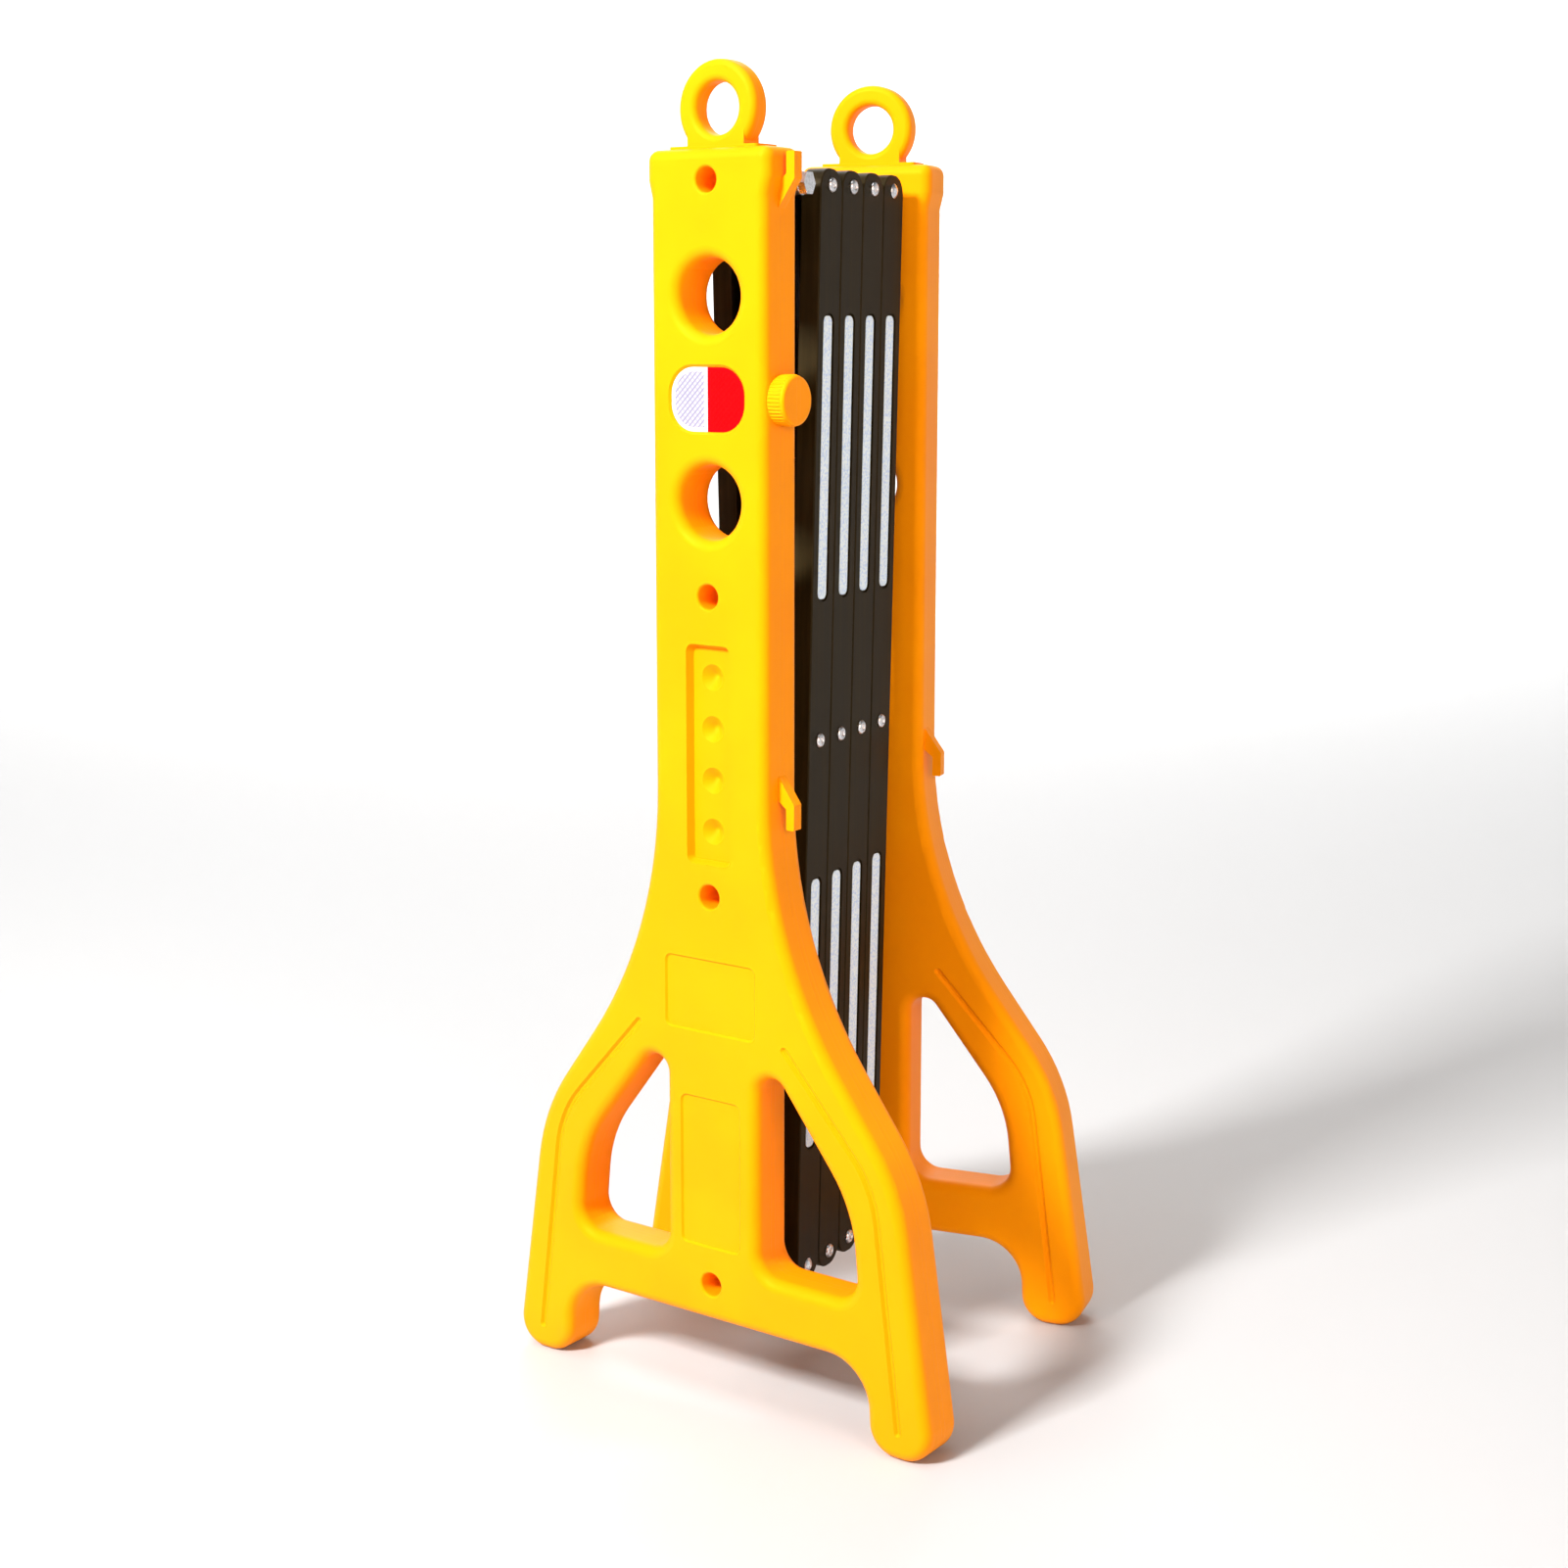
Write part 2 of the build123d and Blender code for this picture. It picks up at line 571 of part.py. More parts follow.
def make_guide_plate(reach):
    """Upright plate that swivels on the post, with a top pivot hole and a slot for the sliding pin."""
    slot_half = PIN_RADIUS + SLOT_CLEARANCE
    travel = RAISED_PIVOT_Z - BOTTOM_PIVOT_Z
    top = TOP_PIVOT_Z + PLATE_OVER
    bottom = min(BOTTOM_PIVOT_Z - PIN_RADIUS - PLATE_OVER, min(BRACKET_HEIGHTS) - BARREL_HALF)
    with BuildPart() as plate:
        with BuildSketch(side_plane(PLATE_HALF)):
            with Locations((PLATE_EDGE, bottom)):
                Rectangle(reach + PLATE_RIM - PLATE_EDGE, top - bottom, align=(Align.MIN, Align.MIN))
            with Locations(*[(0, z) for z in BRACKET_HEIGHTS]):
                Rectangle(PLATE_EDGE, 2 * BARREL_HALF, align=(Align.MIN, Align.CENTER))
            with Locations((reach, TOP_PIVOT_Z)):
                Circle(PIN_RADIUS, mode=Mode.SUBTRACT)
            with Locations((reach, (BOTTOM_PIVOT_Z + RAISED_PIVOT_Z) / 2)):
                SlotCenterToCenter(travel, 2 * slot_half, rotation=90, mode=Mode.SUBTRACT)
        extrude(amount=PLATE_THICK)
        with Locations(*[(0, 0, z) for z in BRACKET_HEIGHTS]):
            Cylinder(EAR_RADIUS, 2 * BARREL_HALF)
            Cylinder(HINGE_PIN_RADIUS + RUNNING, 2 * BARREL_HALF, mode=Mode.SUBTRACT)
    return plate.part


def round_along_y(x, z, start, end, radius, hole=0.0):
    """Plain round piece or ring along local y between two stations, with start below end."""
    with BuildPart() as piece:
        with BuildSketch(side_plane(start)):
            with Locations((x, z)):
                Circle(radius)
                if hole:
                    Circle(hole, mode=Mode.SUBTRACT)
        extrude(amount=start - end)
    return piece.part


def dome_along_y(x, z, base, up, radius, height):
    """Domed head on the plane y = base, raised towards the sign given by up."""
    with BuildPart() as dome:
        with BuildSketch(Plane(origin=(x, base, z), x_dir=(1, 0, 0), z_dir=(0, 0, up))):
            with BuildLine():
                Line((0, 0), (radius, 0))
                TangentArc((0, height), (radius, 0), tangent=(1, 0))
                Line((0, height), (0, 0))
            make_face()
        revolve(axis=Axis((x, base, z), (0, 1, 0)))
    return dome.part


def make_top_bolt(reach):
    """Pivot bolt of the end slat, headed outside the slat and running through the guide plate."""
    head = SLAT_FACE_Y + HEAD_GAP
    with BuildPart() as bolt:
        add(round_along_y(reach, TOP_PIVOT_Z, -SLAT_FACE_Y, head, PIN_RADIUS))
        add(dome_along_y(reach, TOP_PIVOT_Z, head, 1, PIN_HEAD_RADIUS, PIN_HEAD_HEIGHT))
    return bolt.part


def make_top_sleeve(reach):
    """Spacer sleeve on the free half of the top bolt."""
    end = SLAT_FACE_Y - NUT_HEIGHT
    with BuildPart() as sleeve:
        add(round_along_y(reach, TOP_PIVOT_Z, -end, -PLATE_HALF, SLEEVE_RADIUS, PIN_RADIUS))
    return sleeve.part


def make_top_nut(reach):
    """Hexagon nut that closes the sleeve."""
    with BuildPart() as nut:
        with BuildSketch(side_plane(-SLAT_FACE_Y)):
            with Locations((reach, TOP_PIVOT_Z)):
                RegularPolygon(NUT_RADIUS, HEX_SIDES)
                Circle(PIN_RADIUS, mode=Mode.SUBTRACT)
        extrude(amount=-NUT_HEIGHT)
    return nut.part


def make_slider_pin(reach):
    """Pin fixed in the foot of the end slat, which slides in the guide plate's slot."""
    tail = PLATE_HALF + PLATE_GAP + COLLAR_LENGTH
    with BuildPart() as pin:
        add(round_along_y(reach, BOTTOM_PIVOT_Z, -SLAT_FACE_Y, tail, PIN_RADIUS))
        add(dome_along_y(reach, BOTTOM_PIVOT_Z, -SLAT_FACE_Y, -1, PIN_HEAD_RADIUS, PIN_HEAD_HEIGHT))
    return pin.part


def make_slider_collar(reach):
    """Collar that keeps the sliding pin in the slot."""
    start = PLATE_HALF + PLATE_GAP
    with BuildPart() as collar:
        add(round_along_y(reach, BOTTOM_PIVOT_Z, start, start + COLLAR_LENGTH, COLLAR_RADIUS, PIN_RADIUS))
    return collar.part


def make_slat(boss_ends, bores):
    """One slat, upright about its middle pivot with its face at negative y.

    boss_ends and bores give, for the bottom, middle and top pivots, the station where the pivot boss
    stops and the radius of its bore.
    """
    length = 2 * (ARM + SLAT_END)
    back = -SLAT_FACE_Y + SLAT_DEPTH
    with BuildPart() as slat:
        with BuildSketch(side_plane(-SLAT_FACE_Y)):
            RectangleRounded(SLAT_WIDTH, length, SLAT_CORNER)
        extrude(amount=-SLAT_DEPTH)
        fillet(slat.faces().sort_by(Axis.Y)[0].edges(), SLAT_EDGE_ROUND)
        with BuildSketch(side_plane(back)):
            RectangleRounded(SLAT_WIDTH - 2 * SLAT_WALL, length - 2 * SLAT_WALL, SLAT_CORNER - SLAT_WALL)
        extrude(amount=SLAT_DEPTH - SLAT_FACE_THICK, mode=Mode.SUBTRACT)
        rib_count = int(ARM // RIB_PITCH)
        rib_heights = [s * n * RIB_PITCH for n in range(1, rib_count) for s in (-1, 1)]
        with Locations(*[(0, back - SLAT_DEPTH / 2, z) for z in rib_heights]):
            Box(SLAT_WIDTH - SLAT_WALL, SLAT_DEPTH - SLAT_FACE_THICK, RIB_THICK)
        for z, end in zip((-ARM, 0, ARM), boss_ends):
            add(round_along_y(0, z, -SLAT_FACE_Y + SLAT_FACE_THICK / 2, end, BOSS_RADIUS))
        for z, bore in zip((-ARM, 0, ARM), bores):
            with BuildSketch(side_plane(-SLAT_FACE_Y)):
                with Locations((0, z)):
                    Circle(bore)
            extrude(amount=-SLAT_FACE_Y, mode=Mode.SUBTRACT)
        with BuildSketch(side_plane(-SLAT_FACE_Y)):
            with Locations((0, -STRIP_CENTRE), (0, STRIP_CENTRE)):
                RectangleRounded(
                    STRIP_WIDTH + 2 * STRIP_MARGIN,
                    STRIP_LENGTH + 2 * STRIP_MARGIN,
                    STRIP_CORNER + STRIP_MARGIN,
                )
        extrude(amount=-STRIP_POCKET, mode=Mode.SUBTRACT)
    return slat.part


def make_strips():
    """The two reflective strips of one slat, lying in its pockets."""
    with BuildPart() as strips:
        with BuildSketch(side_plane(-SLAT_FACE_Y + STRIP_POCKET)):
            with Locations((0, -STRIP_CENTRE), (0, STRIP_CENTRE)):
                RectangleRounded(STRIP_WIDTH, STRIP_LENGTH, STRIP_CORNER)
        extrude(amount=STRIP_THICK)
    return strips.part


def make_rivets(points):
    """Headed rivets along y at the given x and z, fixed in a front slat and turning in rear slats."""
    rear = SLAT_FACE_Y + HEAD_GAP
    with BuildPart() as rivets:
        for x, z in points:
            add(round_along_y(x, z, -SLAT_FACE_Y, rear, PIN_RADIUS))
            add(dome_along_y(x, z, -SLAT_FACE_Y, -1, PIN_HEAD_RADIUS, PIN_HEAD_HEIGHT))
            add(dome_along_y(x, z, rear, 1, PIN_HEAD_RADIUS, PIN_HEAD_HEIGHT))
    return rivets.part


def place(shape, location, node):
    """Puts a piece drawn in a local frame into the barrier's frame and saves it."""
    with BuildPart() as placed:
        add(shape.moved(location), mode=Mode.REPLACE)
    save(placed, node)


# Pieces of the two ends: those on the post turn with its yaw, those on the guide plate do not
post_pieces = {
    "post": cut_into_blocks(make_post()),
    "eyelet": make_eyelet(),
    "knob": make_knob(),
    "patch_white": make_sticker(1),
    "patch_red": make_sticker(-1),
    "brackets": make_brackets(),
    "bracket_bolts": make_bracket_bolts(),
    "hinge_pins": make_hinge_pins(),
}
plate_makers = {
    "guide_plate": make_guide_plate,
    "top_bolt": make_top_bolt,
    "top_sleeve": make_top_sleeve,
    "top_nut": make_top_nut,
    "slider_pin": make_slider_pin,
    "slider_collar": make_slider_collar,
}
for end, (axis_x, turn, yaw, reach) in ENDS.items():
    for piece, shape in post_pieces.items():
        place(shape, Location((axis_x, MID_Y, 0), (0, 0, turn + yaw)), f"{end}_{piece}")
    for piece, maker in plate_makers.items():
        place(maker(reach), Location((axis_x, MID_Y, 0), (0, 0, turn)), f"{end}_{piece}")

# Slats of the lattice: the front ones lean with their tops towards +X and the rear ones towards -X
free_end = -BOSS_GAP
plate_end = -PLATE_HALF - PLATE_GAP
turning = PIN_RADIUS + RUNNING
strips_shape = make_strips()
for cell in range(1, CELLS + 1):
    first = cell == 1
    last = cell == CELLS
    middle_x = FIRST_PIVOT_X + (cell - 0.5) * PITCH
    front_place = Location((middle_x, MID_Y, MIDDLE_PIVOT_Z)) * Location((0, 0, 0), (0, LEAN, 0))
    rear_place = Location((middle_x, MID_Y, MIDDLE_PIVOT_Z)) * Location((0, 0, 0), (0, -LEAN, 0))
    rear_place = rear_place * Location((0, 0, 0), (0, 0, 180))

    front_ends = (plate_end if first else free_end, free_end, plate_end if last else free_end)
    front_bores = (PIN_RADIUS, PIN_RADIUS, turning if last else PIN_RADIUS)
    place(make_slat(front_ends, front_bores), front_place, f"front_slat_{cell}")
    place(strips_shape, front_place, f"front_strips_{cell}")

    rear_ends = (plate_end if last else free_end, free_end, plate_end if first else free_end)
    rear_bores = (PIN_RADIUS if last else turning, turning, turning)
    place(make_slat(rear_ends, rear_bores), rear_place, f"rear_slat_{cell}")
    place(strips_shape, rear_place, f"rear_strips_{cell}")

    points = [(middle_x, MIDDLE_PIVOT_Z)]
    if not first:
        points.append((middle_x - PITCH / 2, BOTTOM_PIVOT_Z))
    if not last:
        points.append((middle_x + PITCH / 2, TOP_PIVOT_Z))
    place(make_rivets(points), Location((0, MID_Y, 0)), f"front_rivets_{cell}")
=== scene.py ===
"""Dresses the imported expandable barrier: finishes, formed rivets, knob ribs, a studio and a camera.

All sizes are in metres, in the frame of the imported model: +X along the way the barrier pulls out,
+Z up, and the origin on the ground under the middle of the folded barrier.
"""
import logging
import math
from dataclasses import dataclass, field
from enum import Enum
from typing import Any, Union

import bmesh
import bpy
from mathutils import Matrix, Vector


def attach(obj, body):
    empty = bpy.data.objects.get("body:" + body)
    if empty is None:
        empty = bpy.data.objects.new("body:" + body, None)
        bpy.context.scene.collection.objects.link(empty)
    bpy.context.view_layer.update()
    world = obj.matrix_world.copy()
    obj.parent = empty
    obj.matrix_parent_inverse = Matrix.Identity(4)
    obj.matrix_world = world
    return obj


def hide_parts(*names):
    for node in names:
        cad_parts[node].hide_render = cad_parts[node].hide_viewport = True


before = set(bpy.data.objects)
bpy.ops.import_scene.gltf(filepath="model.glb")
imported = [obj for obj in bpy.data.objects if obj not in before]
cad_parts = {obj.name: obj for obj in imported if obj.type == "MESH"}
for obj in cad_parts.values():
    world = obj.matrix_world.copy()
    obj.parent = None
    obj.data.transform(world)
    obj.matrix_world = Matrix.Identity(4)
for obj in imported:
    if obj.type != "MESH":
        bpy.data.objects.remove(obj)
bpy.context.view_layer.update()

LOG = logging.getLogger("barrier")
QUARTER_TURN = math.pi / 2
WELD = 1e-6

Colour = tuple[float, float, float, float]
Number = Union[float, "Signal"]
Pair = tuple[float, float]
Triple = tuple[float, float, float]


class End(Enum):
    """The two ends of the barrier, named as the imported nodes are."""

    NEAR = "near"
    FAR = "far"


class Layer(Enum):
    """The two layers of slats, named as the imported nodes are."""

    FRONT = "front"
    REAR = "rear"


class Signal:
    """One output socket of a shader graph, with arithmetic that adds Math nodes."""

    def __init__(self, graph: "ShaderGraph", socket: bpy.types.NodeSocket) -> None:
        """Keeps the graph and the socket together.

        Args:
            graph: The graph that the socket belongs to.
            socket: The output socket to wrap.
        """
        self.graph = graph
        self.socket = socket

    def math(self, operation: str, *others: Number) -> "Signal":
        """Adds a Math node fed by this signal and the others.

        Args:
            operation: The Math node's operation.
            others: Further values or signals, in the order of the node's sockets.

        Returns:
            The node's result.
        """
        return self.graph.maths(operation, self, *others)

    def __add__(self, other: Number) -> "Signal":
        """Sum of this signal and another."""
        return self.math("ADD", other)

    def __radd__(self, other: Number) -> "Signal":
        """Sum with a plain number on the left."""
        return self.math("ADD", other)

    def __sub__(self, other: Number) -> "Signal":
        """This signal less another."""
        return self.math("SUBTRACT", other)

    def __rsub__(self, other: Number) -> "Signal":
        """A plain number less this signal."""
        return self.graph.maths("SUBTRACT", other, self)

    def __mul__(self, other: Number) -> "Signal":
        """Product of this signal and another."""
        return self.math("MULTIPLY", other)

    def __rmul__(self, other: Number) -> "Signal":
        """Product with a plain number on the left."""
        return self.math("MULTIPLY", other)

    def __truediv__(self, other: Number) -> "Signal":
        """This signal divided by another."""
        return self.math("DIVIDE", other)

    def absolute(self) -> "Signal":
        """Size of the signal without its sign."""
        return self.math("ABSOLUTE")

    def fraction(self) -> "Signal":
        """Part of the signal after its whole number."""
        return self.math("FRACT")

    def smaller(self, other: Number) -> "Signal":
        """The smaller of this signal and another."""
        return self.math("MINIMUM", other)

    def larger(self, other: Number) -> "Signal":
        """The larger of this signal and another."""
        return self.math("MAXIMUM", other)

    def smooth(self, low: float, high: float) -> "Signal":
        """Eases the signal from 0 at low to 1 at high.

        Args:
            low: The value that gives 0.
            high: The value that gives 1.

        Returns:
            The eased signal.
        """
        settings = {"interpolation_type": "SMOOTHSTEP", "clamp": True}
        made = self.graph.node(
            "ShaderNodeMapRange",
            settings,
            {"Value": self, "From Min": low, "From Max": high},
        )
        return Signal(self.graph, made.outputs["Result"])


class ShaderGraph:
    """A material's node tree, with one method that makes every node."""

    NET_EDGE: Pair = (0.14, 0.27)
    BOX_LENGTH: float = math.sqrt(3.0)

    def __init__(self, name: str) -> None:
        """Starts an empty material.

        Args:
            name: The material's name.
        """
        self.material = bpy.data.materials.new(name)
        self.material.use_nodes = True
        self.tree = self.material.node_tree
        self.tree.nodes.clear()

    def node(
        self,
        kind: str,
        settings: dict[str, Any] | None = None,
        inputs: dict[str, Any] | None = None,
    ) -> bpy.types.Node:
        """Makes a node, sets it up and feeds its sockets.

        Args:
            kind: The node's type.
            settings: The node's own properties, which are set first.
            inputs: Values or signals by socket name or identifier.

        Returns:
            The new node.
        """
        made = self.tree.nodes.new(kind)
        for key, value in (settings or {}).items():
            setattr(made, key, value)
        for key, value in (inputs or {}).items():
            socket = next((s for s in made.inputs if s.identifier == key), None) or made.inputs[key]
            if isinstance(value, Signal):
                self.tree.links.new(value.socket, socket)
            else:
                socket.default_value = value
        return made

    def maths(self, operation: str, *values: Number) -> Signal:
        """Adds a Math node.

        Args:
            operation: The Math node's operation.
            values: Values or signals in the order of the node's sockets.

        Returns:
            The node's result.
        """
        identifiers = ("Value", "Value_001", "Value_002")
        made = self.node("ShaderNodeMath", {"operation": operation}, dict(zip(identifiers, values)))
        return Signal(self, made.outputs["Value"])

    def place(self, centre: Triple = (0.0, 0.0, 0.0), turn: float = 0.0) -> Signal:
        """Object coordinates seen from a centre and turned about the upright axis.

        Args:
            centre: The point that becomes the origin.
            turn: The turn of the piece about the upright axis, in radians.

        Returns:
            The coordinates as a vector signal.
        """
        coordinates = self.node("ShaderNodeTexCoord").outputs["Object"]
        mapping = self.node(
            "ShaderNodeMapping",
            {"vector_type": "TEXTURE"},
            {"Vector": Signal(self, coordinates), "Location": centre, "Rotation": (0, 0, turn)},
        )
        return Signal(self, mapping.outputs["Vector"])

    def split(self, vector: Signal) -> tuple[Signal, Signal, Signal]:
        """The three parts of a vector signal."""
        made = self.node("ShaderNodeSeparateXYZ", None, {"Vector": vector})
        return tuple(Signal(self, made.outputs[name]) for name in "XYZ")

    def stretch(self, vector: Signal, factors: Triple) -> Signal:
        """A vector signal multiplied part by part."""
        made = self.node(
            "ShaderNodeVectorMath",
            {"operation": "MULTIPLY"},
            {"Vector": vector, "Vector_001": factors},
        )
        return Signal(self, made.outputs["Vector"])

    def noise(self, vector: Signal, scale: float, detail: float = 2.0) -> Signal:
        """Noise over a vector signal.

        Args:
            vector: The coordinates.
            scale: Cells in a metre.
            detail: Levels of finer noise.

        Returns:
            Noise between 0 and 1.
        """
        made = self.node(
            "ShaderNodeTexNoise",
            None,
            {"Vector": vector, "Scale": scale, "Detail": detail},
        )
        return Signal(self, made.outputs["Fac"])

    def honeycomb(self, across: Signal, along: Signal, cell: float) -> Signal:
        """A net of six-sided cells.

        Args:
            across: The first flat coordinate.
            along: The second flat coordinate.
            cell: The width of a cell.

        Returns:
            A signal that is 0 in the middle of a cell and 1 on its walls.
        """
        length = cell * self.BOX_LENGTH
        first = self._cell_distance(across / cell, along / length)
        second = self._cell_distance(across / cell + 0.5, along / length + 0.5)
        return first.smaller(second).smooth(*self.NET_EDGE)

    def _cell_distance(self, across: Signal, along: Signal) -> Signal:
        """Squared distance from the middle of the long box that a point lies in.

        Args:
            across: The first coordinate, in widths of a box.
            along: The second coordinate, in lengths of a box.

        Returns:
            The squared distance, in widths of a box.
        """
        u = across.fraction() - 0.5
        v = along.fraction() - 0.5
        return u * u + v * v * self.BOX_LENGTH**2

    def mix(self, amount: Number, first: Colour | Signal, second: Colour | Signal) -> Signal:
        """Mixes two colours.

        Args:
            amount: How much of the second colour shows.
            first: The colour at 0.
            second: The colour at 1.

        Returns:
            The mixed colour.
        """
        made = self.node(
            "ShaderNodeMix",
            {"data_type": "RGBA", "clamp_factor": True},
            {"Factor_Float": amount, "A_Color": first, "B_Color": second},
        )
        return Signal(self, next(s for s in made.outputs if s.identifier == "Result_Color"))

    def bump(
        self,
        height: Signal,
        distance: float,
        strength: float,
        below: Signal | None = None,
    ) -> Signal:
        """Turns a height into a bumped normal.

        Args:
            height: The height between 0 and 1.
            distance: The depth of the relief.
            strength: How much of it shows.
            below: A normal that this relief lies on.

        Returns:
            The normal.
        """
        inputs = {"Height": height, "Distance": distance, "Strength": strength}
        if below is not None:
            inputs["Normal"] = below
        made = self.node("ShaderNodeBump", None, inputs)
        return Signal(self, made.outputs["Normal"])

    def finish(self, **sockets: Any) -> bpy.types.Material:
        """Closes the graph with a Principled shader.

        Args:
            sockets: Values or signals by socket name, with underscores for spaces.

        Returns:
            The finished material.
        """
        named = {key.replace("_", " "): value for key, value in sockets.items()}
        shader = self.node("ShaderNodeBsdfPrincipled", None, named)
        self.node("ShaderNodeOutputMaterial", None, {"Surface": Signal(self, shader.outputs["BSDF"])})
        return self.material


@dataclass(frozen=True)
class Stand:
    """Where an end stands: the foot of its upright axis, and its turn in radians."""

    axis: Triple
    turn: float


@dataclass(frozen=True)
class YellowMoulding:
    """Satin yellow plastic of the blow-moulded posts, eyelets and knobs."""

    lit: Colour = (0.98, 0.315, 0.001, 1.0)
    deep: Colour = (0.95, 0.280, 0.001, 1.0)
    scuffed: Colour = (0.80, 0.27, 0.02, 1.0)
    roughness: float = 0.44
    mottle_roughness: float = 0.10
    scuff_roughness: float = 0.2
    gloss: float = 0.28
    gloss_tint: Colour = (1.0, 0.66, 0.04, 1.0)
    mottle_scale: float = 7.0
    mottle_range: Pair = (0.3, 0.7)
    streak_scales: Triple = (160.0, 160.0, 12.0)
    scuff_range: Pair = (0.56, 0.74)
    scuff_height: float = 0.050
    scuff_share: float = 0.35
    wave_scale: float = 34.0
    wave_relief: Pair = (0.0012, 0.22)
    grain_scale: float = 900.0
    grain_relief: Pair = (0.00025, 0.16)
    parting: float = -0.031
    seam_half: float = 0.0007
    seam_apart: float = 0.0024
    seam_relief: Pair = (0.00025, 0.5)

    def make(self, name: str, stand: Stand) -> bpy.types.Material:
        """Makes the plastic for one end.

        Args:
            name: The material's name.
            stand: Where the end stands and how it is turned.

        Returns:
            The material.
        """
        graph = ShaderGraph(name)
        local = graph.place(stand.axis, stand.turn)
        across, _, height = graph.split(local)
        mottle = graph.noise(local, self.mottle_scale, detail=3.0)
        grain = graph.noise(local, self.grain_scale)
        waves = graph.noise(local, self.wave_scale, detail=1.0)
        streaks = graph.noise(graph.stretch(local, self.streak_scales), 1.0, detail=3.0)
        low = 1.0 - height.smooth(0.0, self.scuff_height)
        scuffs = streaks.smooth(*self.scuff_range) * low
        colour = graph.mix(mottle.smooth(*self.mottle_range), self.deep, self.lit)
        colour = graph.mix(scuffs * self.scuff_share, colour, self.scuffed)
        off_parting = (across - self.parting).absolute()
        seam = 1.0 - (off_parting - self.seam_apart).absolute().smooth(0.0, self.seam_half)
        relief = graph.bump(waves, *self.wave_relief)
        relief = graph.bump(grain, *self.grain_relief, relief)
        relief = graph.bump(seam, *self.seam_relief, relief)
        rough = self.roughness + mottle * self.mottle_roughness + scuffs * self.scuff_roughness
        return graph.finish(
            Base_Color=colour,
            Roughness=rough,
            Normal=relief,
            Specular_IOR_Level=self.gloss,
            Specular_Tint=self.gloss_tint,
        )


@dataclass(frozen=True)
class SlatPlastic:
    """Satin black plastic of the slats and hinge pieces, with faint marks along their length."""

    dark: Colour = (0.012, 0.0080, 0.002, 1.0)
    worn: Colour = (0.026, 0.0170, 0.005, 1.0)
    roughness: float = 0.38
    streak_roughness: float = 0.12
    cloud_roughness: float = 0.06
    gloss: float = 0.13
    gloss_tint: Colour = (1.0, 0.82, 0.55, 1.0)
    streak_scales: Triple = (240.0, 240.0, 7.0)
    streak_range: Pair = (0.35, 0.75)
    streak_share: float = 0.6
    streak_relief: Pair = (0.0003, 0.12)
    cloud_scale: float = 14.0
    cloud_share: float = 0.3
    grain_scale: float = 1400.0
    grain_relief: Pair = (0.0002, 0.18)

    def make(self, name: str) -> bpy.types.Material:
        """Makes the plastic.

        Args:
            name: The material's name.

        Returns:
            The material.
        """
        graph = ShaderGraph(name)
        spot = graph.place()
        streaks = graph.noise(graph.stretch(spot, self.streak_scales), 1.0, detail=4.0)
        cloud = graph.noise(spot, self.cloud_scale, detail=3.0)
        grain = graph.noise(spot, self.grain_scale, detail=1.0)
        wear = streaks.smooth(*self.streak_range) * self.streak_share + cloud * self.cloud_share
        colour = graph.mix(wear, self.dark, self.worn)
        relief = graph.bump(streaks, *self.streak_relief)
        relief = graph.bump(grain, *self.grain_relief, relief)
        rough = self.roughness + streaks * self.streak_roughness + cloud * self.cloud_roughness
        return graph.finish(
            Base_Color=colour,
            Roughness=rough,
            Normal=relief,
            Specular_IOR_Level=self.gloss,
            Specular_Tint=self.gloss_tint,
        )


@dataclass(frozen=True)
class StripSheet:
    """White reflective sheet of the slats' strips: sealed cells with glittering flecks."""

    bright: Colour = (0.84, 0.96, 1.0, 1.0)
    shaded: Colour = (0.46, 0.66, 0.98, 1.0)
    cell: float = 0.0030
    net_share: float = 0.25
    net_relief: Pair = (0.0002, 0.35)
    fleck_scale: float = 480.0
    fleck_range: Pair = (0.46, 0.62)
    fleck_share: float = 0.55
    fleck_relief: Pair = (0.0003, 0.30)
    cloud_scale: float = 60.0
    cloud_share: float = 0.12
    roughness: float = 0.30
    fleck_roughness: float = 0.15
    gloss: float = 0.12

    def make(self, name: str) -> bpy.types.Material:
        """Makes the sheet.

        Args:
            name: The material's name.

        Returns:
            The material.
        """
        graph = ShaderGraph(name)
        spot = graph.place()
        across, _, height = graph.split(spot)
        net = graph.honeycomb(across, height, self.cell)
        flecks = graph.noise(spot, self.fleck_scale)
        cloud = graph.noise(spot, self.cloud_scale)
        glitter = flecks.smooth(*self.fleck_range)
        shade = net * self.net_share + glitter * self.fleck_share + cloud * self.cloud_share
        colour = graph.mix(shade, self.bright, self.shaded)
        relief = graph.bump(net, *self.net_relief)
        relief = graph.bump(flecks, *self.fleck_relief, relief)
        rough = self.roughness + flecks * self.fleck_roughness
        return graph.finish(
            Base_Color=colour,
            Roughness=rough,
            Normal=relief,
            Specular_IOR_Level=self.gloss,
        )


